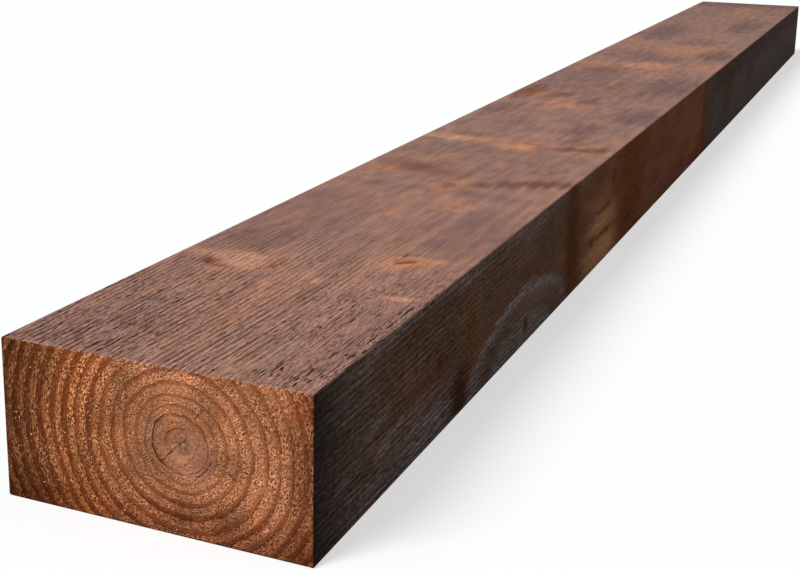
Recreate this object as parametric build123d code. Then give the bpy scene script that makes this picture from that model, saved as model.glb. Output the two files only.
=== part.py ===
"""A new softwood railway sleeper, as sold for gardens: one sawn baulk of boxed-heart timber.

Frame, in millimetres: X runs along the length, Y across the width and Z up through the thickness.
The origin is at the middle of the sawn underside. The sleeper lies flat on its wide face.
"""

from build123d import *

import os

# Driving dimensions: the stock size that the sleeper is sawn and crosscut to
LENGTH = 2400.0
WIDTH = 200.0
THICKNESS = 100.0

# Arrises: the four long ones are rubbed round in handling, those of the end cuts are only just broken
LONG_ARRIS_RADIUS = 1.5
END_ARRIS_RADIUS = 0.6

FOLDER = "parts"
NODE = "sleeper"


def sawn_section():
    """The cross-section at the end cut, in the YZ plane: a rectangle that stands on the ground."""
    on_the_ground = Plane.YZ * Pos(0, THICKNESS / 2)
    return on_the_ground * RectangleRounded(WIDTH, THICKNESS, LONG_ARRIS_RADIUS)


def crosscut_baulk():
    """The section run out to the stock length, half of it each way from the origin."""
    return extrude(sawn_section(), amount=LENGTH / 2, both=True)


def break_end_arrises(baulk):
    """Rounds the rim of both end cuts."""
    end_faces = baulk.faces().sort_by(Axis.X)
    rims = end_faces[0].edges() + end_faces[-1].edges()
    return fillet(rims, END_ARRIS_RADIUS)


def make_sleeper():
    """The finished sleeper, one solid."""
    sleeper = break_end_arrises(crosscut_baulk())
    sleeper.label = NODE
    return sleeper


os.makedirs(FOLDER, exist_ok=True)
export_step(make_sleeper(), os.path.join(FOLDER, f"{NODE}.step"))
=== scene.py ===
"""The looks of a new softwood sleeper: sawn faces, knots, end rings, torn grain and rubbed arrises.

The scene is in metres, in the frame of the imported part: X along the length, with the end that is seen
at the lowest X, Y across, Z up and the floor at zero. The wood is laid out in millimetres of that frame.
"""

import math
from collections import namedtuple
from functools import partial, reduce
from types import SimpleNamespace

import bmesh
import bpy
import numpy as np
from mathutils import Color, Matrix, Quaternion, Vector
from mathutils import noise as random_field


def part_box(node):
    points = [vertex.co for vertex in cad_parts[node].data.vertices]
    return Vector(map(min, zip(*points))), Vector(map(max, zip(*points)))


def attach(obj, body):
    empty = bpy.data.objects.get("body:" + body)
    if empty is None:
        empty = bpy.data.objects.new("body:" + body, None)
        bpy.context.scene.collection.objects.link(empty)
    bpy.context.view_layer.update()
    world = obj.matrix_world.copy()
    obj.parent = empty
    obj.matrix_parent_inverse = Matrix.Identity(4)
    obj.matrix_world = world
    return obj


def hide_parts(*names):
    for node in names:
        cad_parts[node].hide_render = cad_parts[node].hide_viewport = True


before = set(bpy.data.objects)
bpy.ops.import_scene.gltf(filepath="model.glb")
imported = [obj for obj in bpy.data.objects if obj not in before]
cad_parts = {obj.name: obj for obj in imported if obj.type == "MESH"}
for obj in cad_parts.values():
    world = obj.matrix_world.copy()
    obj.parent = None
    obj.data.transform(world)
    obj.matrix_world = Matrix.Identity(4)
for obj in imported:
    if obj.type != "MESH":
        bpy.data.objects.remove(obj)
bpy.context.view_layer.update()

# The sawn baulk, in millimetres
MM_PER_METRE = 1000.0
LOWEST, HIGHEST = (corner * MM_PER_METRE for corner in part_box("sleeper"))
LENGTH, WIDTH, THICKNESS = HIGHEST - LOWEST
LONG_ARRIS_RADIUS = 1.5
END_ARRIS_RADIUS = 0.6

# The pith, which wanders along the baulk: its place in the end cut, and how far it strays
PITH_ACROSS = -19.0
PITH_HEIGHT = 56.0
PITH_WANDER_LENGTH = 1540.0
PITH_WANDER_ACROSS = 5.0
PITH_WANDER_UP = 8.0

# The outside of each year's latewood, measured from the pith
FIRST_RING = 18.0
RING_RADII = (10, FIRST_RING, 23.5, 29.5, 37, 45, 53.5, 62, 70, 79, 87, 95.5, 104, 112, 120, 128)
RING_REACH = 140.0
RING_EDGE = 1.8
FLAKE_RADIUS = 50.0
SECOND_SHAKE = 20.5

# A level that eases from low to high as something goes from start to stop
Ease = namedtuple("Ease", "start stop low high", defaults=(0.0, 1.0))
# A level that goes up by a slope from a base
Line = namedtuple("Line", "slope base", defaults=(1.0,))
# A random pattern: the length and width of its patches, how fine and rough it is, where it starts and,
# where it swings about zero, the reach of the swing
Grain = namedtuple("Grain", "along across detail roughness seed reach", defaults=(2.0, 0.5, 0.0, 1.0))
# A mark on one face: its place along and across that face, half its length and width there, how strongly
# it shows, and its turn on the face in degrees
Patch = namedtuple("Patch", "face along across length width strength turn", defaults=(1.0, 0.0))
# A drying check in the end cut that is seen, from one place to another, across and up from the pith
Check = namedtuple("Check", "start stop width")
# A stain on the end cuts: its middle, from the pith, how it fades and its colour
Spot = namedtuple("Spot", "middle share colour")
# Random relief of the mesh: its depth, the length and width of its patches, and where it starts
Relief = namedtuple("Relief", "depth along across seed")


def patches(**faces):
    """A table of patches, given face by face."""
    return [Patch(face, *row) for face, rows in faces.items() for row in rows]


def paint(*levels):
    """A colour as a paint card gives it, 0 to 255, in the linear light that a shader takes."""
    card = Color([level / 255.0 for level in levels])
    return (*card.from_srgb_to_scene_linear(), 1.0)


# Knots, stains and torn places.
# The top and the underside count across from the left arris, the two sides count up from the floor.
TOP_FACES = ("top",)
SIDE_FACES = ("right", "left", "under")
ORANGE_KNOTS = patches(
    top=(
        (161, 86, 7, 5, 0.6), (170, 179, 6, 14, 0.5, 12), (178, 117, 10, 5, 0.85), (209, 18, 9, 20, 0.4),
        (199, 50, 24, 21, 0.5), (190, 60, 11, 8, 0.7), (231, 147, 11, 7, 0.7, 20),
        (247, 154, 14, 21, 0.9, 25), (100, 98, 120, 12, 0.22), (370, 93, 11, 7, 0.7),
        (415, 134, 16, 14, 0.75, 25), (465, 98, 14, 8, 0.7), (502, 109, 16, 7, 0.9),
        (526, 27, 17, 19, 0.55, 10), (587, 118, 14, 7, 0.75), (676, 106, 20, 20, 0.8),
        (700, 123, 16, 16, 0.7, 20), (695, 63, 14, 34, 0.6, 8), (945, 79, 20, 40, 0.85, -54),
        (996, 41, 22, 28, 0.5, -40), (1223, 129, 34, 24, 0.6), (1326, 97, 36, 44, 0.75, 12),
        (1340, 184, 55, 20, 0.7), (1318, 24, 50, 22, 0.4), (1535, 118, 60, 40, 0.6, -20),
        (1599, 30, 50, 24, 0.4), (2200, 110, 130, 24, 0.4),
    ),
    under=(
        (245, 60, 16, 14, 0.7), (538, 120, 18, 16, 0.7), (1000, 62, 20, 18, 0.7),
        (1350, 140, 18, 22, 0.7), (1740, 92, 18, 20, 0.7),
    ),
    left=(
        (236, 60, 12, 11, 0.7), (1010, 62, 14, 12, 0.7), (1745, 40, 14, 12, 0.7),
    ),
)
PALE_KNOTS = patches(
    top=(
        (209, 20, 8, 20, 0.5), (199, 49, 22, 20, 0.4), (215, 45, 6, 18, 0.6), (258, 170, 5, 10, 0.5, 12),
        (246, 159, 5, 10, 0.5, 25), (233, 147, 9, 6, 0.4), (168, 182, 4, 10, 0.6, 12),
        (417, 148, 6, 3, 0.6), (693, 26, 18, 24, 0.95), (696, 61, 9, 34, 0.4, 8), (675, 103, 14, 14, 0.4),
        (940, 85, 12, 22, 0.4, -54), (1326, 101, 30, 28, 0.35),
    ),
)
DARK_KNOTS = patches(
    top=(
        (190, 31, 8, 7, 0.9), (184, 40, 7, 9, 0.5), (204, 74, 16, 3, 0.6), (175, 172, 3, 6, 0.5),
        (249, 154, 7, 8, 0.6, 40), (264, 149, 4, 9, 0.5, 10), (412, 128, 5, 3, 0.5),
        (480, 101, 9, 6, 0.7), (498, 83, 14, 4, 0.45), (500, 127, 12, 7, 0.9), (513, 148, 13, 14, 0.75),
        (526, 180, 13, 32, 1.0, 18), (541, 46, 16, 27, 0.75, -12), (525, 89, 18, 18, 0.4),
        (677, 16, 6, 12, 0.7), (715, 42, 13, 28, 0.5), (697, 113, 6, 10, 0.45),
        (689, 170, 12, 32, 0.9, 20), (723, 150, 14, 14, 0.4), (973, 101, 26, 12, 0.7),
        (1010, 57, 30, 14, 0.6, -40), (1021, 15, 50, 12, 0.85), (1106, 108, 40, 13, 0.35),
        (1262, 60, 40, 18, 0.45), (1396, 110, 30, 30, 0.4), (1497, 168, 55, 20, 0.6),
        (1635, 120, 50, 30, 0.4),
    ),
    right=(
        (194, 51, 5, 5, 0.8), (236, 14, 15, 19, 1.0), (534, 60, 20, 70, 0.55, -4), (520, 84, 6, 10, 0.6),
        (395, 14, 7, 6, 0.8), (607, 29, 10, 4, 0.7), (692, 78, 8, 8, 0.5), (762, 14, 14, 8, 0.5),
        (1235, 60, 22, 60, 0.6), (1435, 62, 44, 44, 0.8), (1680, 52, 36, 30, 0.5),
    ),
    left=(
        (722, 46, 22, 40, 0.8), (1365, 58, 20, 44, 0.8), (2060, 36, 18, 40, 0.8),
    ),
    under=(
        (245, 60, 6, 5, 0.8), (538, 120, 7, 6, 0.8), (1000, 62, 7, 7, 0.8), (1740, 92, 7, 7, 0.8),
    ),
)
COOL_CLOUDS = patches(
    top=(
        (70, 42, 110, 15, 0.12), (90, 126, 100, 9, 0.1), (60, 176, 70, 14, 0.12), (258, 36, 38, 26, 0.8),
        (255, 108, 40, 10, 0.35), (140, 14, 30, 14, 0.35), (590, 165, 40, 26, 0.45),
        (620, 30, 30, 24, 0.35), (287, 175, 40, 18, 0.45), (350, 40, 90, 42, 0.5),
        (348, 165, 60, 40, 0.6), (600, 150, 56, 50, 0.4), (640, 100, 44, 60, 0.3),
        (462, 90, 11, 110, 0.5), (458, 160, 18, 40, 0.4), (556, 116, 18, 14, 0.5),
        (544, 182, 22, 18, 0.6), (545, 100, 50, 100, 0.3), (562, 50, 12, 60, 0.35),
        (644, 61, 30, 40, 0.4), (628, 160, 30, 30, 0.3), (791, 146, 40, 16, 0.95), (783, 61, 50, 24, 0.4),
        (886, 21, 40, 18, 0.75), (896, 180, 50, 28, 1.0), (1063, 150, 40, 30, 0.5),
        (1144, 165, 90, 36, 0.95), (1130, 50, 130, 60, 0.45), (1443, 60, 60, 40, 0.6),
        (1446, 175, 50, 22, 0.6), (1771, 40, 110, 30, 1.0), (1912, 155, 110, 26, 0.95),
        (2375, 100, 80, 140, 0.8),
    ),
)
BROWN_BANDS = patches(
    right=(
        (534, 50, 24, 80, 0.85, -4), (770, 55, 62, 110, 1.0), (660, 29, 40, 2.5, 0.75, 2),
        (655, 53, 40, 3, 0.75), (562, 14, 12, 10, 0.5), (620, 86, 56, 18, 0.5), (1190, 6, 40, 14, 1.0),
        (1215, 24, 34, 14, 0.9, -22), (255, 50, 16, 32, 0.45), (178, 44, 38, 16, 0.35, -8),
    ),
)
AMBER_STAINS = patches(
    right=(
        (648, 12, 70, 18, 1.0), (655, 42, 60, 14, 0.8), (640, 64, 48, 16, 0.3), (740, 50, 24, 24, 0.25),
    ),
    left=(
        (1010, 62, 50, 36, 0.35),
    ),
)
GREY_ARCHES = patches(
    right=(
        (385, -5, 136, 50),
    ),
    left=(
        (480, -5, 220, 50), (1550, -5, 170, 50), (2250, -5, 170, 45),
    ),
    under=(
        (400, 20, 280, 40), (1500, 180, 460, 40),
    ),
)
GREY_STREAKS = patches(
    right=(
        (38, 33, 27, 5, 0.8, -19), (84, 49, 19, 4, 0.7, -10), (58, 18, 19, 4, 0.6, -8),
        (104, 32, 25, 5, 0.9, -12), (165, 16, 52, 20, 0.85, -3), (70, 10, 72, 16, 0.55),
        (266, 11, 16, 14, 0.7), (20, 60, 60, 90, 0.3),
    ),
)
PALE_EYES = patches(
    top=(
        (202, 48, 15, 16, 1.0), (178, 117, 5, 3, 0.6), (169, 180, 3, 8, 0.4, 12),
        (257, 170, 4, 8, 0.3, 12), (76, 27, 2.5, 0.7, 6.0), (125, 31, 2.5, 0.6, 5.0),
        (46, 138, 2.0, 0.6, 5.0),
    ),
)
GREY_EYES = patches(
    top=(
        (200, 47, 9, 11, 1.0),
    ),
)
DARK_EYES = patches(
    top=(
        (189, 30, 7, 4, 0.5, 30), (182, 44, 2, 10, 0.5), (246, 154, 9, 3, 0.9, -45),
        (261, 148, 5, 1.4, 0.7, -4), (268, 156, 5, 1.2, 0.4, -4),
    ),
)
TORN_SLITS = patches(
    top=(
        (1, 2, 5, 2), (13, 17, 6, 0.45), (12, 56, 9, 0.45), (22, 61, 9, 0.5), (18, 64, 8, 0.4),
        (54, 41, 8, 0.45), (57, 64, 6, 0.45), (102, 57, 8, 0.5), (76, 48, 10, 0.4), (163, 68, 7, 0.5),
        (47, 133, 6, 0.5), (27, 165, 9, 0.6), (28, 184, 7, 0.5), (58, 184, 6, 0.45), (116, 161, 6, 0.55),
        (117, 170, 6, 0.6), (107, 189, 6, 0.5, -8), (62, 194, 7, 0.55), (91, 194, 8, 0.5),
        (120, 194, 7, 0.5), (149, 194, 8, 0.55), (206, 194, 6, 0.55, -4), (203, 148, 7, 0.5, -8),
        (215, 178, 7, 0.5, -8), (187, 172, 6, 0.5, -8), (265, 148, 4, 0.7, -6), (267, 155, 4, 0.6, -6),
        (235, 189, 6, 0.45, -8),
    ),
)
PATCH_DEPTH = 30.0
PATCH_SPAN = Ease(1.7, 0.3)
EYE_SPAN = Ease(1.5, 0.3)
SLIT_SPAN = Ease(1.2, 0.7)
KNOT_SWERVE = 0.3
KNOT_WIDTH = 12.0

END_CHECKS = (
    Check((13, -13), (-4, 5), 0.42),
    Check((-9, 17), (-15, 23), 0.4),
    Check((89, -25), (64, -19), 0.3),
    Check((3, -28), (2, -33), 0.3),
    Check((-30, -12), (-34, -14), 0.3),
    Check((-16, -22), (-19, -27), 0.3),
)

# The mesh: cells along, across and up, and how long the cells are at some places along
CELLS_ALONG = 220
CELLS_ACROSS = 124
CELLS_UP = 50
CELL_PLACES = (0.0, 0.3, 0.6, 0.9, 1.0)
CELL_LENGTHS = (1.0, 1.2, 8.0, 8.0, 2.5)
CELL_CORNERS = 4
ARRIS_SHARES = (0.0, 0.25, 0.55, 1.0)
BLOCK_MIDDLE = 0.5
GRID_SLACK = 1e-4
TOP_FINISH, SIDE_FINISH, END_FINISH = range(3)

# The relief that the saw and handling left in the mesh
SAW_WANDER = Relief(0.15, 420, 90, 11)
SAW_CHATTER = Relief(0.08, 34, 14, 23)
SAW_TEAR = Relief(-0.6, 22, 4, 37)
SAW_TEAR_START = 0.25
ARRIS_RUB = Relief(0.12, 80, 30, 51)
ARRIS_CHIP = Relief(0.8, 30, 4, 67)
ARRIS_TURN_GAIN = 3.0
ARRIS_MARGIN = 6.0
OUT_OF_SQUARE = 0.8

# The view, fitted to the corners of the baulk in the photograph, which was cropped off its middle
IMAGE_WIDTH_PX = 800
FOCAL_LENGTH_PX = 1329.7
SENSOR_WIDTH_MM = 36.0
CAMERA_PLACE = Vector((-1.7809, -0.3694, 0.3613))
CAMERA_FORWARD = Vector((0.8802, 0.3932, -0.2658))
CAMERA_ROLL = math.radians(0.882)
CAMERA_SHIFT_ACROSS = 0.0813
CAMERA_SHIFT_UP = -0.0593

# The light: a soft lamp from the front left, and a pale room
LAMP_FROM = Vector((-0.62, 0.33, 0.71))
LAMP_STRENGTH = 3.3
LAMP_SPREAD = math.radians(25.0)
ROOM_COLOUR = (0.93, 0.97, 1.0, 1.0)
ROOM_STRENGTH = 0.25
FLOOR_SIZE = 60.0
FLOOR_BOUNCE = (0.22, 0.22, 0.22, 1.0)
FLOOR_SHADOW_SHARE = 0.4
WHITE = (1.0, 1.0, 1.0, 1.0)
SAWN_WOOD_GLOSS = 0.04

# Patterns that the faces share: torn slits, and the even rows of ribs that the frame saw left.
# Random patterns swing about their middle.
NOISE_MIDDLE = 0.5
TEARS = Grain(9, 0.8, 0)
TEAR_PATCHES = Grain(40, 12, 1, seed=7)
TEAR_EDGE = Ease(0.38, 0.62, 0.83, 0.70)
TEAR_LOOSENESS = -0.10
TEAR_SPAN = Ease(0, 0.05)
ROW_PITCH = 4.28
ROW_STRAY = Grain(260, 140, 0, seed=44, reach=9)
FURROW_SPAN = Ease(-0.45, -0.95)
DASHES = Grain(22, 2.4, roughness=0.6)
DASH_SPAN = Ease(0.47, 0.57)

# The top: colours, some of them shares of red, green and blue that are let through
TOP_PALE = paint(181, 141, 124)
TOP_DEEP = paint(130, 90, 75)
TOP_COOL = (0.90, 0.93, 1.02, 1.0)
TOP_WARM = (1.08, 1.02, 0.90, 1.0)
TOP_FAR = (0.86, 0.905, 0.95, 1.0)
# The groove and slit colours are painted shade: in the furrows and between fibres, and inside the torn
# slits.
TOP_GROOVE = paint(76, 40, 28)
TOP_SLIT = paint(40, 20, 14)
TOP_FRINGE = paint(196, 128, 90)
KNOT_ORANGE = (1.45, 1.18, 0.92, 1.0)
KNOT_PALE = (1.42, 1.42, 1.40, 1.0)
EYE_PALE = (1.22, 1.26, 1.28, 1.0)
EYE_GREY = (0.68, 0.80, 0.98, 1.0)
EYE_DARK = (0.36, 0.27, 0.20, 1.0)
KNOT_STAIN = (0.60, 0.47, 0.37, 1.0)
KNOT_COOL = (0.62, 0.63, 0.73, 1.0)
TOP_STAINS = (
    (ORANGE_KNOTS, KNOT_ORANGE),
    (PALE_KNOTS, KNOT_PALE),
    (DARK_KNOTS, KNOT_STAIN),
    (COOL_CLOUDS, KNOT_COOL),
)
TOP_EYES = ((PALE_EYES, EYE_PALE), (GREY_EYES, EYE_GREY), (DARK_EYES, EYE_DARK))

# The top: patterns
TOP_RIDGES = Grain(24, 1.3, 1)
TOP_FIBRES = Grain(9, 0.8, 1, seed=3)
TOP_GRIT = Grain(3.6, 0.9, 1, seed=17)
TOP_STRANDS = Grain(150, 7, seed=5)
TOP_CLOUD = Grain(90, 40, seed=9)
TOP_TINT = Grain(80, 9, 1, seed=27)
TOP_MOTTLE = Grain(34, 10, seed=41)
TOP_SPLINTERS = Grain(7, 1.4, 1, seed=33)
TOP_TEAR_SEED = 2.0
TOP_DASH_SEED = 31.0
TOP_RELIEF = {
    "ridges": 0.4, "ribs": 0.4, "fibres": 0.35, "grit": 0.4, "strands": 0.5, "groove": -0.5, "torn": -0.8,
}

# The top: how the patterns show. Places along count from the end that is seen.
TOP_NEAR = Ease(30, 420, 1, 0)
TOP_FINE = Line(0.82, 0.18)
TOP_EVEN_ROWS = Ease(-55, -30, 0.4, 1)
TOP_RIDGE_TONE = Ease(-0.42, 0.42)
TOP_RIB_TONE = Ease(-1, 0.5, -0.12, 0.08)
TOP_CLOUD_TONE = Ease(0.38, 0.62)
TOP_TINT_TONE = Ease(0.40, 0.62, 0, 0.6)
TOP_FAR_TONE = Ease(260, 1100)
TOP_FARTHEST_TONE = Ease(1600, 2300, 1, 0.86)
TOP_GRIT_DARK = Ease(-0.05, -0.22, 0, 0.66)
TOP_GRIT_PALE = Ease(0.03, 0.26, 1, 1.4)
TOP_STREAK_TONE = 0.55
TOP_STREAK_NEAR = Line(0.7, 0.3)
TOP_MOTTLE_AWAY = Line(0.5, 0.45)
TOP_STRAY = Grain(30, 14, reach=9)
TOP_FAR_STRAY = Grain(160, 50, reach=18)
TOP_FRAY = 1.6
KNOT_WHOLE = Line(-0.8)
TOP_FIRM_MIDDLE = 12.0
TOP_LOOSE = Ease(15, 60, 0.2, 1)
SLIT_FRAY = 0.8
GROOVE_SHARE = 0.82
SLIT_SHARE = 0.95
FRINGE_RIM = Ease(5, -1)
FRINGE_LIFT = 0.24
FRINGE_SPAN = Ease(0.76, 0.86)
FRINGE_SHARE = Ease(0.05, 0.3, 0, 0.7)
TOP_ROUGHNESS = Ease(-0.2, 0.2, 0.95, 0.8)

# The sides: colours, darker than the top partly from preservative and partly as painted shade
SIDE_BROWN = paint(115, 84, 65)
SIDE_RED = paint(134, 81, 56)
SIDE_GREY = paint(172, 161, 156)
SIDE_STAIN = paint(62, 30, 9)
SIDE_BAND = paint(114, 59, 14)
SIDE_AMBER = paint(222, 156, 108)

# The sides: patterns
SIDE_RIDGES = Grain(60, 1.2, 1.5, seed=1)
SIDE_FIBRES = Grain(6, 0.9, 1, seed=4)
SIDE_STRANDS = Grain(160, 6, seed=13)
SIDE_CLOUD = Grain(90, 30, 3, seed=6)
SIDE_LOOSENESS = 0.6
SIDE_TEAR_SEED = 8.0
SIDE_DASH_SEED = 12.0
SIDE_RELIEF = {"ridges": 1.0, "fibres": 0.4, "torn": -0.5}

# The sides: how the patterns show. Places along count from the end that is seen.
SIDE_CRISP = Ease(60, 620, 1, 0.25)
RED_START = Ease(480, 800)
RED_STOP = Ease(1300, 1180)
SIDE_CLOUD_TONE = Ease(0.3, 0.7, 0.80, 1.18)
SIDE_FAR_TONE = Ease(1160, 1340, 1, 0.28)
SIDE_STRAY = Grain(30, 14, reach=12)
SIDE_STRAND_FRAY = 1.2
SIDE_RIDGE_FRAY = 0.6
SIDE_RIDGE_TONE = Ease(-0.2, 0.2, 0.74, 1.26)
SIDE_FIBRE_TONE = Ease(-0.2, 0.2, 0.66, 1.34)
SIDE_RIB_TONE = Ease(-1, 0.6, -0.23, 0.18)
SIDE_NEAR_TONE = Ease(-8, 85, 0.15, 1)
SIDE_TORN_TONE = Line(-0.7)
SIDE_GROOVE_TONE = Line(-0.3)
SIDE_ROUGHNESS = Ease(-0.2, 0.2, 0.95, 0.78)

# The grey film and painted sky sheen on the sides: arches of outer rings as (place, level) stops, streaks,
# and a strip at the top
ARCH_BANDS = (
    (0.0, 0.75), (0.42, 0.8), (0.49, 0.25), (0.57, 0.1), (0.67, 0.3), (0.74, 0.95), (0.79, 0.9), (0.84, 0.0),
)
ARCH_REACH = 1.3
ARCH_RIM = 1.15
ARCH_RIM_SHARE = Ease(0.10, 0, 0, 0.6)
ARCH_STRAND_FRAY = 0.15
ARCH_CLOUD_FRAY = 0.2
ARCH_FADE = Ease(430, 530, 1, 0.45)
FILM_SPECKLES = Grain(5, 1.5, 1, seed=15)
FILM_STREAKS = Grain(45, 2.4, 1, seed=18)
FILM_FRAY = 0.8
FILM_STRIP_FRAY = 30.0
FILM_STRIP = Ease(THICKNESS - 16, THICKNESS - 4, 0, 0.4)
FILM_FADE = Ease(560, 680, 1, 0)
FAR_FILM = Ease(1230, 1340, 0, 0.22)
FAR_FILM_HEIGHT = Ease(84, 56)
FILM_SPECKLE_TONE = Ease(0.34, 0.60, 0.3, 1)
FILM_STREAK_TONE = Ease(0.36, 0.58, 0.35, 1)

# The end cuts: colours
END_EARLY = paint(197, 125, 84)
END_EARLY_LEFT = paint(207, 122, 67)
END_LATE = paint(104, 46, 18)
END_PINK = paint(194, 131, 104)
END_GREY = paint(132, 92, 78)
END_RESIN = paint(186, 92, 46)
END_STAIN = (0.50, 0.37, 0.29, 1.0)
# The pit colour is painted shade in pits and pores, the chaff colour painted light on raised grains, and the
# crack colour both dark ring lines and painted shade in cracks.
END_PIT = paint(80, 36, 14)
END_CHAFF_LIGHT = paint(228, 168, 126)
END_RING_LINE_AND_CRACK_SHADE = paint(66, 28, 12)
END_SPECK = paint(230, 192, 152)
PITH_SPOT = Spot((0, -7, -6), Ease(20, 10, 0, 0.8), END_PINK)
GREY_SPOT = Spot((0, 17, 6), Ease(12, 3, 0, 0.7), END_GREY)
RESIN_SPOT = Spot((0, -70, 33), Ease(12, 4, 0, 0.45), END_RESIN)

# The end cuts: patterns, which run a long way into the wood
END_DEPTH = 400.0
END_FLAKES = Grain(1.5, 0.95, 1.5, 0.6, 4)
END_CRUMBS = Grain(END_DEPTH, 2.4, 1, seed=6)
END_ZONES = Grain(END_DEPTH, 13, seed=16)
END_CLOUD = Grain(END_DEPTH, 28, 3, seed=2)
END_PORES = Grain(END_DEPTH, 1.3, 1, seed=11)
END_DUST = Grain(END_DEPTH, 1.5, 1, seed=21)
DUST_PATCHES = Grain(END_DEPTH, 16, 1, seed=23)
RING_SWAY = Grain(END_DEPTH, 45, reach=7)
RING_RIPPLE = Grain(END_DEPTH, 8, seed=3, reach=2.2)
RING_ARCS = Grain(END_DEPTH, 11, 1, seed=29)
BAND_UNEVEN = Grain(END_DEPTH, 26, seed=14, reach=0.3)
YEARS = Grain(7, 1, 0, seed=7)
CRACK_BREAKS = Grain(END_DEPTH, 3, seed=19)
CHECK_STRAY = Grain(END_DEPTH, 5, reach=2.4)
END_RELIEF = {"grit": 1.6, "crumbs": 0.8, "pitted": -0.6, "opened": -0.6}

# The end cuts: how the patterns show. Places across and up are those of the baulk.
END_LEFT = Ease(0, 55)
END_LOW = Ease(50, 12)
LOW_BAND_SHARE = 0.6
BAND_FRAY = 3.0
BAND_EDGE = Ease(0, 1, 0.50, 0.34)
BAND_SPAN = Ease(0, 0.30)
BAND_DEPTH = Ease(0, 1, 0.62, 0.92)
BAND_CLOUD = Ease(0.3, 0.6, 0.82, 1)
BAND_YEAR = Ease(0.35, 0.60, 0.78, 1)
BAND_SMOOTH = Line(-0.66)
RING_LINE_FRAY = 0.8
RING_LINE_SPAN = Ease(0.86, 0.97)
RING_LINE_SHARE = Ease(0, 1, 0.65, 0.4)
RING_ARC_SPAN = Ease(0.40, 0.56)
PITH_ROUGH = Ease(10, 28, 1, 1.1)
LEFT_ROUGH = Ease(0, 1, 1, 1.15)
ZONE_ROUGH = Ease(0.35, 0.62, 0.6, 1.2)
PIT_SHARE = Ease(-0.01, -0.15, 0, 0.68)
CHAFF_LIGHT_SHARE = Ease(0.01, 0.14, 0, 0.86)
CRUMB_TONE = 1.5
ZONE_TONE = Ease(0.3, 0.7, 0.80, 1.18)
END_CLOUD_TONE = Ease(0.3, 0.7, 0.70, 1.28)
END_LEFT_TONE = Ease(48, 96, 1, 0.38)
FOOT_FRAY = 8.0
FOOT_STAIN = Ease(34, 3, 0, 0.78)
RIGHT_FRAY = 16.0
RIGHT_STAIN = Ease(-80, -94, 0, 0.65)
PORE_EDGE = Ease(-20, 45, 0.69, 0.585)
PORE_ZONES = Ease(0.35, 0.62, 0.06, -0.03)
PORE_SPAN = Ease(0, 0.06)
PORE_SHARE = 0.62
DUST_GATHER = 0.6
SPECK_SPAN = Ease(1.05, 1.11)
BROKEN_SPAN = Ease(0.36, 0.50)
SHAKE_SPAN = Ease(0.55, 0.15)
SHAKE_LEFT = Ease(9, 13)
SHAKE_RIGHT = Ease(-7, -11)
SHAKE_LOW = Ease(-4, -9)
CHECK_SPAN = Ease(1.4, 0.5)
SEEN_END = Ease(1, -1)
NOTCH_ROWS = Ease(-0.5, -0.95)
NOTCH_FRAY = 14.0
NOTCH_RIM = Ease(THICKNESS - 3.5, THICKNESS)
NOTCH_ZONES = Ease(0.40, 0.56)
CRACK_SHARE = 0.8
END_ROUGHNESS = Ease(-0.2, 0.2, 0.95, 0.82)


def patch_place(patch):
    """Where a patch lies on its face."""
    x = LOWEST.x + patch.along
    across = HIGHEST.y - patch.across
    places = {
        "top": (x, across, HIGHEST.z),
        "under": (x, across, LOWEST.z),
        "right": (x, LOWEST.y, patch.across),
        "left": (x, HIGHEST.y, patch.across),
    }
    return Vector(places[patch.face])


def patch_axes(patch):
    """The directions along, across and into a patch, each over its half-size."""
    turn = math.radians(patch.turn)
    flat = patch.face in ("top", "under")
    aside = Vector((0.0, 1.0, 0.0)) if flat else Vector((0.0, 0.0, 1.0))
    inward = Vector((0.0, 0.0, 1.0)) if flat else Vector((0.0, 1.0, 0.0))
    lean = -math.sin(turn) if flat else math.sin(turn)
    lengthwise = Vector((math.cos(turn), 0.0, 0.0)) - aside * lean
    widthwise = aside * math.cos(turn) + Vector((lean, 0.0, 0.0))
    return lengthwise / patch.length, widthwise / patch.width, inward / PATCH_DEPTH


def on_faces(table, faces):
    """The patches of a table that lie on some faces."""
    return [patch for patch in table if patch.face in faces]


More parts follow.
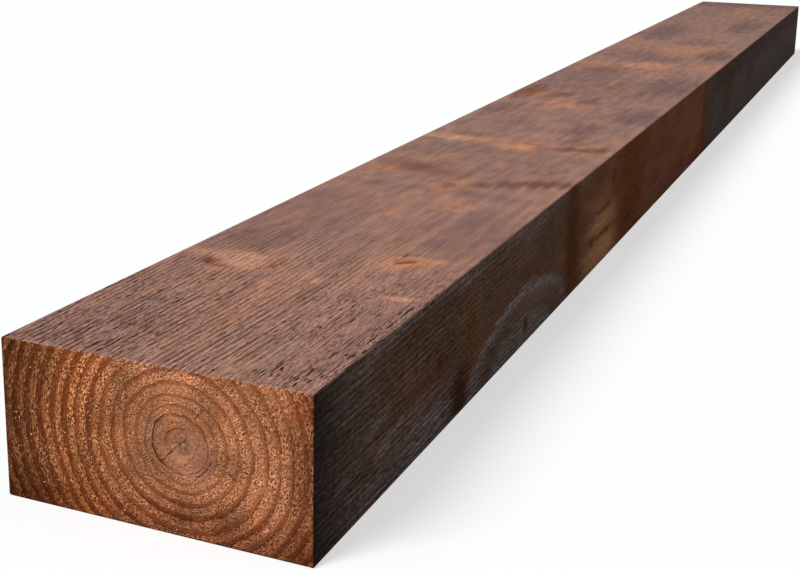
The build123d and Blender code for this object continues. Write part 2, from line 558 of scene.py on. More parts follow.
class Recipe:
    """Adds the nodes of one finish, step by step. Each step gives back the socket that holds its result."""

    def __init__(self, tree):
        self.tree = tree

    def feed(self, socket, value):
        if isinstance(value, bpy.types.NodeSocket):
            self.tree.links.new(value, socket)
        else:
            socket.default_value = value

    def node(self, kind, inputs, **settings):
        made = self.tree.nodes.new(kind)
        for name, value in settings.items():
            setattr(made, name, value)
        for key, value in inputs.items():
            self.feed(made.inputs[key], value)
        return made

    def maths(self, operation, *values):
        return self.node("ShaderNodeMath", dict(enumerate(values)), operation=operation).outputs[0]

    def plus(self, first, second):
        return self.maths("ADD", first, second)

    def minus(self, first, second):
        return self.maths("SUBTRACT", first, second)

    def times(self, first, second):
        return self.maths("MULTIPLY", first, second)

    def line(self, value, line):
        return self.maths("MULTIPLY_ADD", value, line.slope, line.base)

    def least(self, values):
        return reduce(partial(self.maths, "MINIMUM"), values)

    def greatest(self, values):
        return reduce(partial(self.maths, "MAXIMUM"), values)

    def vectors(self, operation, *values):
        made = self.node("ShaderNodeVectorMath", dict(enumerate(values)), operation=operation)
        return made.outputs["Value" if operation in ("DOT_PRODUCT", "LENGTH") else "Vector"]

    def scaled(self, vector, scale):
        made = self.node("ShaderNodeVectorMath", {0: vector, "Scale": scale}, operation="SCALE")
        return made.outputs["Vector"]

    def place(self):
        """Where the shaded point lies on the baulk, in millimetres."""
        coordinates = self.node("ShaderNodeTexCoord", {}).outputs["Object"]
        return self.scaled(coordinates, MM_PER_METRE)

    def split(self, vector):
        made = self.node("ShaderNodeSeparateXYZ", {0: vector})
        return made.outputs["X"], made.outputs["Y"], made.outputs["Z"]

    def join(self, x, y, z):
        return self.node("ShaderNodeCombineXYZ", {0: x, 1: y, 2: z}).outputs[0]

    def random(self, place, grain, seed):
        """A random pattern, as a number and as a colour."""
        stretch = (1 / grain.along, 1 / grain.across, 1 / grain.across)
        start = (grain.seed + seed,) * 3
        spread = self.vectors("MULTIPLY_ADD", place, stretch, start)
        inputs = {"Vector": spread, "Scale": 1.0, "Detail": grain.detail, "Roughness": grain.roughness}
        return self.node("ShaderNodeTexNoise", inputs).outputs

    def noise(self, place, grain, seed=0.0):
        """Soft random patches, from 0 to 1."""
        return self.random(place, grain, seed)[0]

    def wander(self, place, grain):
        """Random steps to the side, up to half of the reach each way."""
        colour = self.random(place, grain, 0.0)[1]
        return self.scaled(self.vectors("SUBTRACT", colour, (NOISE_MIDDLE,) * 3), grain.reach)

    def eased(self, value, ease):
        """A level that eases as a value goes from start to stop, and stays even outside that."""
        inputs = {"From Min": ease.start, "From Max": ease.stop, "To Min": ease.low, "To Max": ease.high}
        inputs["Value"] = value
        return self.node("ShaderNodeMapRange", inputs, interpolation_type="SMOOTHSTEP").outputs[0]

    def along(self, x, ease):
        """A level that eases along the baulk, from the end that is seen."""
        return self.eased(x, ease._replace(start=LOWEST.x + ease.start, stop=LOWEST.x + ease.stop))

    def mix(self, share, first, second, blend="MIX"):
        inputs = {0: share, 6: first, 7: second}
        made = self.node("ShaderNodeMix", inputs, data_type="RGBA", blend_type=blend)
        return made.outputs[2]

    def shade(self, colour, level):
        """A colour made lighter or darker by a level around 1."""
        return self.scaled(colour, level)

    def swung(self, colour, swing):
        """A colour made lighter or darker by a swing about zero."""
        return self.shade(colour, self.plus(swing, 1.0))

    def ramp(self, value, stops):
        """A line through (place, level) stops, even at both ends."""
        made = self.node("ShaderNodeValToRGB", {0: value})
        points = made.color_ramp.elements
        while len(points) < len(stops):
            points.new(1.0)
        for point, (place, level) in zip(points, stops):
            point.position = place
            point.color = (level, level, level, 1.0)
        return made.outputs[0]

    def group(self, tree, **inputs):
        made = self.node("ShaderNodeGroup", {}, node_tree=tree)
        for name, value in inputs.items():
            self.feed(made.inputs[name], value)
        return made.outputs


def new_group(name, inputs, outputs):
    """An empty node group, with the sockets that lead into it and out of it."""
    tree = bpy.data.node_groups.new(name, "ShaderNodeTree")
    kinds = {"vector": "NodeSocketVector", "number": "NodeSocketFloat"}
    for socket, kind in inputs.items():
        tree.interface.new_socket(socket, in_out="INPUT", socket_type=kinds[kind])
    for socket, kind in outputs.items():
        tree.interface.new_socket(socket, in_out="OUTPUT", socket_type=kinds[kind])
    inlet = tree.nodes.new("NodeGroupInput").outputs
    outlet = tree.nodes.new("NodeGroupOutput").inputs
    return Recipe(tree), inlet, outlet


def patch_ratio(r, place, patch):
    """How many of its half-sizes a place lies from the middle of a patch."""
    from_middle = r.vectors("SUBTRACT", place, patch_place(patch))
    axes = patch_axes(patch)
    if not patch.turn:
        return r.vectors("LENGTH", r.vectors("MULTIPLY", from_middle, sum(axes, Vector())))
    return r.vectors("LENGTH", r.join(*(r.vectors("DOT_PRODUCT", from_middle, axis) for axis in axes)))


def patch_share(r, place, fray, table, span=PATCH_SPAN):
    """How strongly a place shows any patch of a table, whose outlines are frayed."""
    def share(patch):
        ratio = r.plus(patch_ratio(r, place, patch), fray)
        return r.eased(ratio, span._replace(high=patch.strength))
    return r.greatest(map(share, table))


def grain_flow(r, place, knots):
    """The place, moved aside as the grain swerves round the small knots."""
    flow = place
    for knot in knots:
        if knot.width > KNOT_WIDTH or knot.length > KNOT_WIDTH:
            continue
        ratio = patch_ratio(r, place, knot)
        share = r.maths("DIVIDE", KNOT_SWERVE, r.maths("MULTIPLY_ADD", ratio, ratio, 1.0))
        from_middle = r.vectors("SUBTRACT", place, patch_place(knot))
        aside = r.vectors("MULTIPLY", from_middle, (0.0, 1.0, 1.0))
        flow = r.vectors("SUBTRACT", flow, r.scaled(aside, share))
    return flow


def off_pith(r, place):
    """How far a place lies from the pith, across and up."""
    x, y, z = r.split(place)
    turn = r.times(r.minus(x, LOWEST.x), 2 * math.pi / PITH_WANDER_LENGTH)
    swing = r.maths("SINE", turn)
    across = r.minus(y, r.maths("MULTIPLY_ADD", swing, PITH_WANDER_ACROSS, PITH_ACROSS))
    up = r.minus(z, r.maths("MULTIPLY_ADD", swing, PITH_WANDER_UP, PITH_HEIGHT))
    return r.join(0.0, across, up)


def centred(r, noise, reach):
    """Random values from 0 to 1, made to swing about zero by up to half of a reach."""
    return r.times(r.minus(noise, NOISE_MIDDLE), reach)


def swinging(r, place, grain):
    """A random pattern that swings about zero by up to half of its reach."""
    return centred(r, r.noise(place, grain), grain.reach)


def latewood(r, radius):
    """Each ring goes slowly from pale earlywood to dark latewood, and stops at a sharp edge."""
    stops = []
    inside = 0.0
    for outside in RING_RADII:
        stops.append((inside / RING_REACH, 0.0))
        stops.append((outside / RING_REACH, 1.0))
        inside = outside + RING_EDGE
    return r.ramp(r.maths("DIVIDE", radius, RING_REACH), stops)


def new_finish(name):
    """An empty material: its recipe, its shader and the place of the point that is shaded."""
    material = bpy.data.materials.new(name)
    material.use_nodes = True
    material.node_tree.nodes.clear()
    r = Recipe(material.node_tree)
    shader = r.node("ShaderNodeBsdfPrincipled", {"Specular IOR Level": SAWN_WOOD_GLOSS})
    r.node("ShaderNodeOutputMaterial", {"Surface": shader.outputs[0]})
    return material, r, shader.inputs, r.place()


def dress(r, shader, colour, roughness, wood, heights):
    """Gives a shader its colour, its roughness and its relief: patterns of the wood, with heights in mm."""
    height = 0.0
    for pattern, rise in heights.items():
        height = r.maths("MULTIPLY_ADD", getattr(wood, pattern), rise, height)
    bump = r.node("ShaderNodeBump", {"Height": height, "Strength": 1.0, "Distance": 1 / MM_PER_METRE})
    r.feed(shader["Base Color"], colour)
    r.feed(shader["Roughness"], roughness)
    r.feed(shader["Normal"], bump.outputs[0])


def torn_grain(r, flow, looseness, seed):
    """Short slits where the saw tore the fibres, most in loose wood: 0 for whole wood, 1 in a slit."""
    edge = r.eased(r.noise(flow, TEAR_PATCHES, seed), TEAR_EDGE)
    edge = r.maths("MULTIPLY_ADD", looseness, TEAR_LOOSENESS, edge)
    return r.eased(r.minus(r.noise(flow, TEARS, seed), edge), TEAR_SPAN)


def saw_rows(r, flow):
    """The rows of ribs along a face: 1 on top of a rib and -1 in the furrow beside it."""
    _, y, z = r.split(flow)
    drift = swinging(r, flow, ROW_STRAY)
    turn = r.times(r.plus(r.plus(y, z), drift), 2 * math.pi / ROW_PITCH)
    return r.maths("SINE", turn)


def furrow_lines(r, flow, rows, seed):
    """Dashes of painted shade that lie in the furrows: 0 for whole wood, 1 in a dash."""
    return r.times(r.eased(rows, FURROW_SPAN), r.eased(r.noise(flow, DASHES, seed), DASH_SPAN))


def top_patterns(r, place):
    """The random patterns of the top, finer near the end that is seen."""
    along, across, _ = r.split(place)
    near = r.along(along, TOP_NEAR)
    fine = r.line(near, TOP_FINE)
    flow = grain_flow(r, place, on_faces(ORANGE_KNOTS, TOP_FACES))
    rows = saw_rows(r, flow)
    even = r.times(fine, r.eased(across, TOP_EVEN_ROWS))
    return SimpleNamespace(
        place=place, along=along, across=across, near=near, flow=flow, rows=rows, even=even,
        away=r.minus(1.0, near),
        ribs=r.times(r.eased(rows, TOP_RIB_TONE), even),
        ridges=r.times(swinging(r, flow, TOP_RIDGES), fine),
        fibres=r.times(swinging(r, flow, TOP_FIBRES), fine),
        grit=r.times(swinging(r, flow, TOP_GRIT), near),
        strands=r.noise(flow, TOP_STRANDS),
        tint=r.noise(flow, TOP_TINT),
    )


def top_tone(r, top):
    """The top's browns, with painted shade low in the ridges, ribs, fibres and grit and painted light on
    their crests; warm and cool clouds, streaks and mottle.
    """
    colour = r.mix(r.eased(top.ridges, TOP_RIDGE_TONE), TOP_DEEP, TOP_PALE)
    colour = r.swung(colour, top.ribs)
    colour = r.mix(r.eased(r.noise(top.place, TOP_CLOUD), TOP_CLOUD_TONE), colour, TOP_COOL, "MULTIPLY")
    colour = r.mix(r.eased(top.tint, TOP_TINT_TONE), colour, TOP_WARM, "MULTIPLY")
    colour = r.mix(r.along(top.along, TOP_FAR_TONE), colour, TOP_FAR, "MULTIPLY")
    colour = r.shade(colour, r.along(top.along, TOP_FARTHEST_TONE))
    coarse = r.plus(top.fibres, top.grit)
    colour = r.mix(r.eased(coarse, TOP_GRIT_DARK), colour, TOP_GROOVE)
    colour = r.shade(colour, r.eased(coarse, TOP_GRIT_PALE))
    streaks = centred(r, top.strands, TOP_STREAK_TONE)
    colour = r.swung(colour, r.times(streaks, r.line(top.near, TOP_STREAK_NEAR)))
    mottle = swinging(r, top.place, TOP_MOTTLE)
    return r.swung(colour, r.times(mottle, r.line(top.away, TOP_MOTTLE_AWAY)))


def top_knots(r, top, colour):
    """Stains the top with its knots and their eyes, and tells how whole the wood is between them."""
    uneven = r.vectors("ADD", top.place, r.wander(top.place, TOP_STRAY))
    far_stray = r.scaled(r.wander(top.place, TOP_FAR_STRAY), top.away)
    uneven = r.vectors("ADD", uneven, far_stray)
    fray = r.maths("MULTIPLY_ADD", centred(r, top.strands, TOP_FRAY), top.away, top.ridges)
    shares = []
    for table, tint in TOP_STAINS:
        shares.append(patch_share(r, uneven, fray, on_faces(table, TOP_FACES)))
        colour = r.mix(shares[-1], colour, tint, "MULTIPLY")
    for table, tint in TOP_EYES:
        eye = patch_share(r, top.place, r.plus(top.fibres, top.ridges), table, EYE_SPAN)
        colour = r.mix(eye, colour, tint, "MULTIPLY")
    orange, pale, _, _ = shares
    return colour, r.line(r.maths("MAXIMUM", orange, pale), KNOT_WHOLE)


def top_tears(r, top, whole):
    """Where the top is torn, which is less along its firm middle and in knots."""
    off_middle = r.maths("ABSOLUTE", r.plus(top.across, TOP_FIRM_MIDDLE))
    loose = r.times(top.near, r.eased(off_middle, TOP_LOOSE))
    torn = r.times(torn_grain(r, top.flow, loose, TOP_TEAR_SEED), r.times(top.near, whole))
    slit = patch_share(r, top.place, centred(r, top.tint, SLIT_FRAY), TORN_SLITS, SLIT_SPAN)
    return r.maths("MAXIMUM", torn, slit)


def top_fringe(r, top):
    """How strongly a place shows the splinters that the crosscut left along the rim of the end."""
    rim = r.along(top.along, FRINGE_RIM)
    lifted = r.maths("MULTIPLY_ADD", rim, FRINGE_LIFT, r.noise(top.place, TOP_SPLINTERS))
    return r.times(r.eased(lifted, FRINGE_SPAN), r.eased(rim, FRINGE_SHARE))


def sawn_top():
    """The face that has lain in the weather: greyed brown, furrowed and torn, with painted shade in its
    furrows and slits, and orange knots.
    """
    material, r, shader, place = new_finish("sawn_top")
    top = top_patterns(r, place)
    colour, whole = top_knots(r, top, top_tone(r, top))
    top.torn = top_tears(r, top, whole)
    top.groove = r.times(furrow_lines(r, top.flow, top.rows, TOP_DASH_SEED), r.times(top.even, whole))
    # Painted shade: dark dashes in the furrows, and darkness inside the torn slits.
    colour = r.mix(r.times(top.groove, GROOVE_SHARE), colour, TOP_GROOVE)
    colour = r.mix(r.times(top.torn, SLIT_SHARE), colour, TOP_SLIT)
    colour = r.mix(top_fringe(r, top), colour, TOP_FRINGE)
    dress(r, shader, colour, r.eased(top.fibres, TOP_ROUGHNESS), top, TOP_RELIEF)
    return material


def side_patterns(r, place):
    """The random patterns of the sides and the underside, crisper near the end that is seen."""
    along, _, height_up = r.split(place)
    flow = grain_flow(r, place, on_faces(DARK_KNOTS, SIDE_FACES))
    rows = saw_rows(r, flow)
    crisp = r.along(along, SIDE_CRISP)
    return SimpleNamespace(
        place=place, along=along, height_up=height_up, flow=flow, crisp=crisp,
        ridges=swinging(r, flow, SIDE_RIDGES),
        fibres=swinging(r, flow, SIDE_FIBRES),
        strands=r.noise(flow, SIDE_STRANDS),
        cloud=r.noise(place, SIDE_CLOUD),
        ribs=r.times(r.eased(rows, SIDE_RIB_TONE), crisp),
        torn=torn_grain(r, flow, SIDE_LOOSENESS, SIDE_TEAR_SEED),
        groove=furrow_lines(r, flow, rows, SIDE_DASH_SEED),
    )


def grey_film_and_sheen(r, side, arch):
    """Grey film, partly pale wood and partly painted sky sheen: arches of outer rings low down, streaks, and
    a strip under the top arris.
    """
    speckle = r.noise(side.place, FILM_SPECKLES)
    film = r.ramp(r.maths("DIVIDE", arch, ARCH_REACH), ARCH_BANDS)
    film = r.times(film, r.along(side.along, ARCH_FADE))
    frayed = r.plus(centred(r, side.strands, FILM_FRAY), centred(r, speckle, FILM_FRAY))
    film = r.maths("MAXIMUM", film, patch_share(r, side.place, frayed, GREY_STREAKS))
    edge = r.plus(side.height_up, centred(r, side.cloud, FILM_STRIP_FRAY))
    film = r.maths("MAXIMUM", film, r.eased(edge, FILM_STRIP))
    film = r.times(film, r.along(side.along, FILM_FADE))
    distant = r.times(r.along(side.along, FAR_FILM), r.eased(edge, FAR_FILM_HEIGHT))
    film = r.maths("MAXIMUM", film, distant)
    film = r.times(film, r.eased(speckle, FILM_SPECKLE_TONE))
    return r.times(film, r.eased(r.noise(side.flow, FILM_STREAKS), FILM_STREAK_TONE))


def side_tone(r, side):
    """A side's colour: dark brown partly as painted shade, red half-way along, grey film partly as painted
    sky sheen, and nearly black far away.
    """
    red = r.times(r.along(side.along, RED_START), r.along(side.along, RED_STOP))
    colour = r.mix(red, SIDE_BROWN, SIDE_RED)
    colour = r.shade(colour, r.eased(side.cloud, SIDE_CLOUD_TONE))
    arch = r.least(patch_ratio(r, side.place, patch) for patch in GREY_ARCHES)
    fray = r.plus(centred(r, side.strands, ARCH_STRAND_FRAY), centred(r, side.cloud, ARCH_CLOUD_FRAY))
    arch = r.plus(arch, fray)
    rim = r.eased(r.maths("ABSOLUTE", r.minus(arch, ARCH_RIM)), ARCH_RIM_SHARE)
    colour = r.mix(rim, colour, SIDE_RED)
    colour = r.shade(colour, r.along(side.along, SIDE_FAR_TONE))
    return r.mix(grey_film_and_sheen(r, side, arch), colour, SIDE_GREY)


def side_stains(r, side, colour):
    """Stains a side with amber, brown bands and knots."""
    uneven = r.vectors("ADD", side.place, r.wander(side.place, SIDE_STRAY))
    fray = r.plus(centred(r, side.strands, SIDE_STRAND_FRAY), r.times(side.ridges, SIDE_RIDGE_FRAY))
    knots = on_faces(DARK_KNOTS, SIDE_FACES) + on_faces(ORANGE_KNOTS, SIDE_FACES)
    for table, stain in ((AMBER_STAINS, SIDE_AMBER), (BROWN_BANDS, SIDE_BAND), (knots, SIDE_STAIN)):
        colour = r.mix(patch_share(r, uneven, fray, table), colour, stain)
    return colour


def side_relief_shade(r, side, colour):
    """Paints the shade of a side's relief: lighter on ridges, fibres and ribs, darker in tears and furrows,
    and darker near the seen end.
    """
    colour = r.shade(colour, r.eased(r.times(side.ridges, side.crisp), SIDE_RIDGE_TONE))
    colour = r.shade(colour, r.eased(r.times(side.fibres, side.crisp), SIDE_FIBRE_TONE))
    colour = r.swung(colour, side.ribs)
    colour = r.shade(colour, r.along(side.along, SIDE_NEAR_TONE))
    colour = r.shade(colour, r.line(r.times(side.torn, side.crisp), SIDE_TORN_TONE))
    return r.shade(colour, r.line(r.times(side.groove, side.crisp), SIDE_GROOVE_TONE))


def sawn_side():
    """The sides and the underside: dark brown, partly preservative and partly painted shade, grey arches
    partly painted sky sheen, painted relief shade, and knots nearly black.
    """
    material, r, shader, place = new_finish("sawn_side")
    side = side_patterns(r, place)
    colour = side_relief_shade(r, side, side_stains(r, side, side_tone(r, side)))
    dress(r, shader, colour, r.eased(side.fibres, SIDE_ROUGHNESS), side, SIDE_RELIEF)
    return material


def check_group():
    """One drying check: how far a place lies from it, in its own widths."""
    inputs = {"Place": "vector", "Start": "vector", "Run": "vector", "Width": "number"}
    r, inlet, outlet = new_group("one_check", inputs, {"Ratio": "number"})
    from_start = r.vectors("SUBTRACT", inlet["Place"], inlet["Start"])
    length_squared = r.vectors("DOT_PRODUCT", inlet["Run"], inlet["Run"])
    share = r.maths("DIVIDE", r.vectors("DOT_PRODUCT", from_start, inlet["Run"]), length_squared)
    share = r.maths("MAXIMUM", r.maths("MINIMUM", share, 1.0), 0.0)
    nearest = r.scaled(inlet["Run"], share)
    gap = r.vectors("LENGTH", r.vectors("SUBTRACT", from_start, nearest))
    r.feed(outlet["Ratio"], r.maths("DIVIDE", gap, inlet["Width"]))
    return r.tree


def nearest_check(r, from_pith, one_check):
    """The least ratio over all the drying checks."""
    def ratio(check):
        start = Vector((0, *check.start))
        run = Vector((0, *check.stop)) - start
        return r.group(one_check, Place=from_pith, Start=start, Run=run, Width=check.width)["Ratio"]
    return r.least(map(ratio, END_CHECKS))


def end_patterns(r, place):
    """The random patterns of an end cut, and where a place lies from the pith and its rings."""
    x, y, z = r.split(place)
    from_pith = off_pith(r, place)
    _, aside, up = r.split(from_pith)
    around = r.times(r.maths("ARCTAN2", up, aside), FLAKE_RADIUS)
    distance = r.vectors("LENGTH", from_pith)
    radius = r.plus(distance, swinging(r, place, RING_SWAY))
    radius = r.plus(radius, swinging(r, place, RING_RIPPLE))
    return SimpleNamespace(
        place=place, x=x, y=y, z=z, from_pith=from_pith, aside=aside, up=up, radius=radius,
        leftness=r.eased(y, END_LEFT),
        flakes=r.noise(r.join(around, distance, 0.0), END_FLAKES),
        crumbs=r.noise(place, END_CRUMBS),
        zones=r.noise(place, END_ZONES),
        cloud=r.noise(place, END_CLOUD),
    )


def late_bands(r, end):
    """Dark latewood bands, broad on the left and low down, and how dark each of them is."""
    strong = r.maths("MAXIMUM", end.leftness, r.times(r.eased(end.z, END_LOW), LOW_BAND_SHARE))
    late = latewood(r, r.plus(end.radius, centred(r, end.flakes, BAND_FRAY)))
    edge = r.plus(r.eased(strong, BAND_EDGE), swinging(r, end.place, BAND_UNEVEN))
    band = r.eased(r.minus(late, edge), BAND_SPAN)
    year = r.noise(r.join(end.radius, 0.0, 0.0), YEARS)
    depth = r.times(r.eased(strong, BAND_DEPTH), r.eased(end.cloud, BAND_CLOUD))
    depth = r.times(depth, r.eased(year, BAND_YEAR))
    return band, r.times(band, depth)


def ring_lines(r, end):
    """The thin line where each ring stops, in broken arcs."""
    late = latewood(r, r.plus(end.radius, centred(r, end.flakes, RING_LINE_FRAY)))
    arcs = r.eased(r.noise(end.place, RING_ARCS), RING_ARC_SPAN)
    line = r.times(r.eased(late, RING_LINE_SPAN), arcs)
    return r.times(line, r.eased(end.leftness, RING_LINE_SHARE))


def from_spot(r, end, spot):
    """How far a place lies from the middle of a spot."""
    return r.vectors("LENGTH", r.vectors("SUBTRACT", end.from_pith, spot.middle))


def end_roughness(r, end, band):
    """How rough the end is sawn: most on the left and in some zones, least in the hard bands."""
    rough = r.eased(from_spot(r, end, PITH_SPOT), PITH_ROUGH)
    rough = r.times(rough, r.eased(end.leftness, LEFT_ROUGH))
    rough = r.times(rough, r.eased(end.zones, ZONE_ROUGH))
    return r.times(rough, r.line(band, BAND_SMOOTH))


def end_tone(r, end, late):
    """The plain wood of an end: earlywood, latewood and the spots about the pith."""
    colour = r.mix(late, r.mix(end.leftness, END_EARLY, END_EARLY_LEFT), END_LATE)
    for spot in (PITH_SPOT, GREY_SPOT, RESIN_SPOT):
        colour = r.mix(r.eased(from_spot(r, end, spot), spot.share), colour, spot.colour)
    return colour


def end_grit(r, end, colour):
    """Marks an end with ring lines and the painted shade and light of its pits, chaff and crumbs, and shades
    it in zones and clouds.
    """
    colour = r.mix(ring_lines(r, end), colour, END_RING_LINE_AND_CRACK_SHADE)
    colour = r.mix(r.eased(end.grit, PIT_SHARE), colour, END_PIT)
    colour = r.mix(r.eased(end.grit, CHAFF_LIGHT_SHARE), colour, END_CHAFF_LIGHT)
    colour = r.swung(colour, r.times(centred(r, end.crumbs, CRUMB_TONE), end.rough))
    colour = r.shade(colour, r.eased(end.zones, ZONE_TONE))
    colour = r.shade(colour, r.eased(end.cloud, END_CLOUD_TONE))
    return r.shade(colour, r.eased(end.y, END_LEFT_TONE))


def end_stains(r, end, colour):
    """Darkens an end along its foot and its right-hand edge."""
    foot = r.plus(end.z, centred(r, end.crumbs, FOOT_FRAY))
    colour = r.mix(r.eased(foot, FOOT_STAIN), colour, END_STAIN, "MULTIPLY")
    right = r.plus(end.y, centred(r, end.cloud, RIGHT_FRAY))
    return r.mix(r.eased(right, RIGHT_STAIN), colour, END_STAIN, "MULTIPLY")


def open_pores(r, end):
    """Open pores, more of them on the left: 0 for whole wood, 1 in a pore."""
    edge = r.plus(r.eased(end.y, PORE_EDGE), r.eased(end.zones, PORE_ZONES))
    return r.times(r.eased(r.minus(r.noise(end.place, END_PORES), edge), PORE_SPAN), end.rough)


def sawdust(r, end):
    """Pale specks of sawdust, which gather in patches."""
    dusty = r.noise(end.place, DUST_PATCHES)
    dust = r.maths("MULTIPLY_ADD", dusty, DUST_GATHER, r.noise(end.place, END_DUST))
    return r.eased(dust, SPECK_SPAN)


def ring_shake(r, radius, ring):
    """A split along a ring: 0 for whole wood, 1 in the split."""
    return r.eased(r.maths("ABSOLUTE", r.minus(radius, ring)), SHAKE_SPAN)


def end_cracks(r, end, one_check):
    """Shakes along two rings and drying checks, in the end that is seen: 0 for whole wood, 1 in a crack."""
    broken = r.eased(r.noise(end.place, CRACK_BREAKS), BROKEN_SPAN)
    shake = r.times(ring_shake(r, end.radius, FIRST_RING), r.eased(end.aside, SHAKE_LEFT))
    low_right = r.times(r.eased(end.aside, SHAKE_RIGHT), r.eased(end.up, SHAKE_LOW))
    low_right = r.times(ring_shake(r, end.radius, SECOND_SHAKE), low_right)
    shake = r.times(r.maths("MAXIMUM", shake, low_right), broken)
    bent = r.vectors("ADD", end.from_pith, r.wander(end.place, CHECK_STRAY))
    split = r.times(r.eased(nearest_check(r, bent, one_check), CHECK_SPAN), broken)
    return r.times(r.maths("MAXIMUM", shake, split), r.eased(end.x, SEEN_END))


def rim_notches(r, end):
    """Notches in the top rim of an end, where the furrows of the top run out."""
    notches = r.eased(saw_rows(r, end.place), NOTCH_ROWS)
    rim = r.eased(r.plus(end.z, centred(r, end.crumbs, NOTCH_FRAY)), NOTCH_RIM)
    return r.times(notches, r.times(rim, r.eased(end.zones, NOTCH_ZONES)))


def end_grain(one_check):
    """The crosscut ends: growth rings about the pith, open pores, sawdust and drying checks."""
    material, r, shader, place = new_finish("end_grain")
    end = end_patterns(r, place)
    band, late = late_bands(r, end)
    end.rough = end_roughness(r, end, band)
    end.grit = r.times(centred(r, end.flakes, 1.0), end.rough)
    colour = end_stains(r, end, end_grit(r, end, end_tone(r, end, late)))
    end.pitted = open_pores(r, end)
    # Painted shade inside the open pores.
    colour = r.mix(r.times(end.pitted, PORE_SHARE), colour, END_PIT)
    colour = r.mix(sawdust(r, end), colour, END_SPECK)
    end.opened = r.maths("MAXIMUM", end_cracks(r, end, one_check), rim_notches(r, end))
    # Painted shade inside the shakes, checks and rim notches.
    colour = r.mix(r.times(end.opened, CRACK_SHARE), colour, END_RING_LINE_AND_CRACK_SHADE)
    dress(r, shader, colour, r.eased(end.grit, END_ROUGHNESS), end, END_RELIEF)
    return material


def stops_across(length, radius, cells):
    """Even stops over a length, with a few close together where each arris turns."""
    turn = np.array(ARRIS_SHARES) * radius
    middle = np.linspace(radius, length - radius, cells - 2 * len(turn) + 3)
    return np.concatenate([turn[:-1], middle, length - turn[-2::-1]])


def stops_along():
    """Stops along the length: close together at the seen end, wider in the middle, closer at the far end."""
    turn = np.array(ARRIS_SHARES) * END_ARRIS_RADIUS
    share = np.linspace(0.0, 1.0, CELLS_ALONG - 2 * len(turn) + 2)
    size = np.interp(share, CELL_PLACES, CELL_LENGTHS)
    middle = np.concatenate([[0.0], np.cumsum(size)]) / size.sum()
    middle = END_ARRIS_RADIUS + middle * (LENGTH - 2 * END_ARRIS_RADIUS)
    return np.concatenate([turn[:-1], middle, LENGTH - turn[-2::-1]])


def cut_grid(mesh, axis, cells):
    """Divides every edge along one axis into that many cells."""
    edges = [edge for edge in mesh.edges if abs((edge.verts[1].co - edge.verts[0].co)[axis]) > GRID_SLACK]
    bmesh.ops.subdivide_edges(mesh, edges=edges, cuts=cells - 1, use_grid_fill=True)


def gridded_block():
    """A unit block from 0 to 1 each way, its faces cut into cells."""
    mesh = bmesh.new()
    bmesh.ops.create_cube(mesh, size=1.0)
    bmesh.ops.translate(mesh, verts=mesh.verts, vec=(BLOCK_MIDDLE,) * 3)
    for axis, cells in enumerate((CELLS_ALONG, CELLS_ACROSS, CELLS_UP)):
        cut_grid(mesh, axis, cells)
    return mesh


def graded(points):
    """Moves an even unit grid to the stops of the baulk."""
    stops = (
        stops_along(),
        stops_across(WIDTH, LONG_ARRIS_RADIUS, CELLS_ACROSS),
        stops_across(THICKNESS, LONG_ARRIS_RADIUS, CELLS_UP),
    )
    moved = np.empty_like(points)
    for axis, stop in enumerate(stops):
        index = np.rint(points[:, axis] * (len(stop) - 1)).astype(int)
        moved[:, axis] = stop[index] + LOWEST[axis]
    return moved


def rounded(points):
    """Rounds the arrises, and gives each point's outward direction."""
    inset = np.array((END_ARRIS_RADIUS, LONG_ARRIS_RADIUS, LONG_ARRIS_RADIUS))
    core = np.clip(points, np.array(LOWEST) + inset, np.array(HIGHEST) - inset)
    out = (points - core) / inset
    out /= np.linalg.norm(out, axis=1, keepdims=True)
    return core + out * inset, out


def random_at(points, relief):
    """Smooth random values from about -1 to 1, in patches of the relief's size."""
    scaled = points / np.array((relief.along, relief.across, relief.across)) + relief.seed
    return np.array([random_field.noise(Vector(point)) for point in scaled])


def saw_relief(points, out):
    """How far the surface stands from the nominal face: saw wander, torn grain and rubbed arrises."""
    on_long_face = 1.0 - np.abs(out[:, 0])
    turned = np.clip((1.0 - np.max(np.abs(out), axis=1)) * ARRIS_TURN_GAIN, 0.0, 1.0)
    to_faces = np.minimum(points - np.array(LOWEST), np.array(HIGHEST) - points)
    to_arris = np.sort(to_faces, axis=1)[:, 1]
    inside = np.clip((to_arris - LONG_ARRIS_RADIUS) / ARRIS_MARGIN, 0.0, 1.0)
    wander = SAW_WANDER.depth * random_at(points, SAW_WANDER)
    chatter = SAW_CHATTER.depth * random_at(points, SAW_CHATTER)
    torn = np.clip(random_at(points, SAW_TEAR) - SAW_TEAR_START, 0.0, 1.0) * SAW_TEAR.depth
    rubbed = -turned * (ARRIS_RUB.depth + ARRIS_RUB.depth * random_at(points, ARRIS_RUB))
    chips = np.clip(random_at(points, ARRIS_CHIP), 0.0, 1.0)
    chipped = -turned * np.abs(out[:, 0]) * chips * ARRIS_CHIP.depth
    off_square = np.clip(-out[:, 1], 0.0, 1.0) * OUT_OF_SQUARE * (1.0 - 2.0 * points[:, 2] / THICKNESS)
    return on_long_face * (wander + inside * (chatter + torn)) + rubbed + chipped + off_square


def sawn_sleeper(finishes):
    """The sleeper's surface, one closed skin."""
    block = gridded_block()
    mesh = bpy.data.meshes.new("sawn_sleeper")
    block.to_mesh(mesh)
    block.free()
    grid = np.empty(len(mesh.vertices) * 3)
    mesh.vertices.foreach_get("co", grid)
    grid = grid.reshape(-1, 3)
    paint_faces(mesh, grid, finishes)
    points, out = rounded(graded(grid))
    points = points + out * saw_relief(points, out)[:, None]
    mesh.vertices.foreach_set("co", (points / MM_PER_METRE).ravel())
    mesh.update()
    piece = bpy.data.objects.new("sawn_sleeper", mesh)
    bpy.context.scene.collection.objects.link(piece)
    return piece


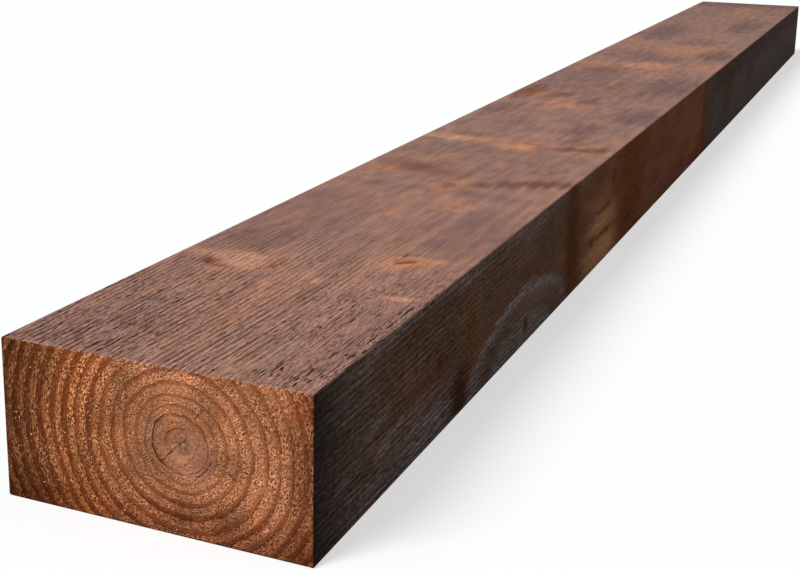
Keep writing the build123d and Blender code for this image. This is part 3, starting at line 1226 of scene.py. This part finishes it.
def paint_faces(mesh, grid, finishes):
    """Gives each cell of the unit block its finish by the side it lies on: top, then sides, then ends."""
    for finish in finishes:
        mesh.materials.append(finish)
    corners = np.empty(len(mesh.polygons) * CELL_CORNERS, int)
    mesh.polygons.foreach_get("vertices", corners)
    middles = grid[corners].reshape(-1, CELL_CORNERS, 3).mean(axis=1)
    index = np.full(len(middles), SIDE_FINISH)
    index[middles[:, 2] > 1.0 - GRID_SLACK] = TOP_FINISH
    index[np.abs(middles[:, 0] - BLOCK_MIDDLE) > BLOCK_MIDDLE - GRID_SLACK] = END_FINISH
    mesh.polygons.foreach_set("material_index", index)
    mesh.polygons.foreach_set("use_smooth", np.ones(len(middles), bool))


def shown_as_white(r):
    """1 for the rays that show the background: those of the camera, of gloss and of glass."""
    rays = r.node("ShaderNodeLightPath", {}).outputs
    seen = r.maths("MAXIMUM", rays["Is Camera Ray"], rays["Is Glossy Ray"])
    return r.maths("MAXIMUM", seen, rays["Is Transmission Ray"])


def studio_floor():
    """A pale floor that keeps a soft shadow."""
    mesh = bmesh.new()
    bmesh.ops.create_grid(mesh, x_segments=1, y_segments=1, size=FLOOR_SIZE / 2)
    data = bpy.data.meshes.new("studio_floor")
    mesh.to_mesh(data)
    mesh.free()
    material = bpy.data.materials.new("studio_floor")
    material.use_nodes = True
    material.node_tree.nodes.clear()
    r = Recipe(material.node_tree)
    glow = r.node("ShaderNodeEmission", {"Color": WHITE, "Strength": 1.0}).outputs[0]
    lit = r.node("ShaderNodeBsdfDiffuse", {"Color": WHITE}).outputs[0]
    seen = r.node("ShaderNodeMixShader", {0: FLOOR_SHADOW_SHARE, 1: glow, 2: lit}).outputs[0]
    bounced = r.node("ShaderNodeBsdfDiffuse", {"Color": FLOOR_BOUNCE}).outputs[0]
    surface = r.node("ShaderNodeMixShader", {0: shown_as_white(r), 1: bounced, 2: seen}).outputs[0]
    r.node("ShaderNodeOutputMaterial", {"Surface": surface})
    data.materials.append(material)
    floor = bpy.data.objects.new("studio_floor", data)
    bpy.context.scene.collection.objects.link(floor)


def studio_light():
    """One soft lamp, and a room that is white to the eye and dim on the wood."""
    lamp = bpy.data.lights.new("soft_lamp", "SUN")
    lamp.energy = LAMP_STRENGTH
    lamp.angle = LAMP_SPREAD
    holder = bpy.data.objects.new("soft_lamp", lamp)
    holder.rotation_euler = LAMP_FROM.to_track_quat("Z", "Y").to_euler()
    bpy.context.scene.collection.objects.link(holder)
    world = bpy.data.worlds.new("pale_room")
    world.use_nodes = True
    world.node_tree.nodes.clear()
    r = Recipe(world.node_tree)
    dim = r.node("ShaderNodeBackground", {"Color": ROOM_COLOUR, "Strength": ROOM_STRENGTH}).outputs[0]
    white = r.node("ShaderNodeBackground", {"Color": WHITE, "Strength": 1.0}).outputs[0]
    surface = r.node("ShaderNodeMixShader", {0: shown_as_white(r), 1: dim, 2: white}).outputs[0]
    r.node("ShaderNodeOutputWorld", {"Surface": surface})
    bpy.context.scene.world = world


def place_camera():
    """The photograph's viewpoint, low at the near end, with its slight roll."""
    data = bpy.data.cameras.new("camera")
    data.sensor_width = SENSOR_WIDTH_MM
    data.lens = FOCAL_LENGTH_PX / IMAGE_WIDTH_PX * SENSOR_WIDTH_MM
    data.shift_x = CAMERA_SHIFT_ACROSS
    data.shift_y = CAMERA_SHIFT_UP
    camera = bpy.data.objects.new("camera", data)
    camera.location = CAMERA_PLACE
    turn = CAMERA_FORWARD.to_track_quat("-Z", "Y") @ Quaternion((0, 0, 1), CAMERA_ROLL)
    camera.rotation_euler = turn.to_euler()
    bpy.context.scene.collection.objects.link(camera)
    bpy.context.scene.camera = camera


def dress_sleeper():
    """Puts the sawn skin in the place of the plain solid."""
    finishes = (sawn_top(), sawn_side(), end_grain(check_group()))
    piece = sawn_sleeper(finishes)
    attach(piece, "root")
    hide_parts("sleeper")


dress_sleeper()
studio_floor()
studio_light()
place_camera()
bpy.context.scene.view_settings.view_transform = "Standard"
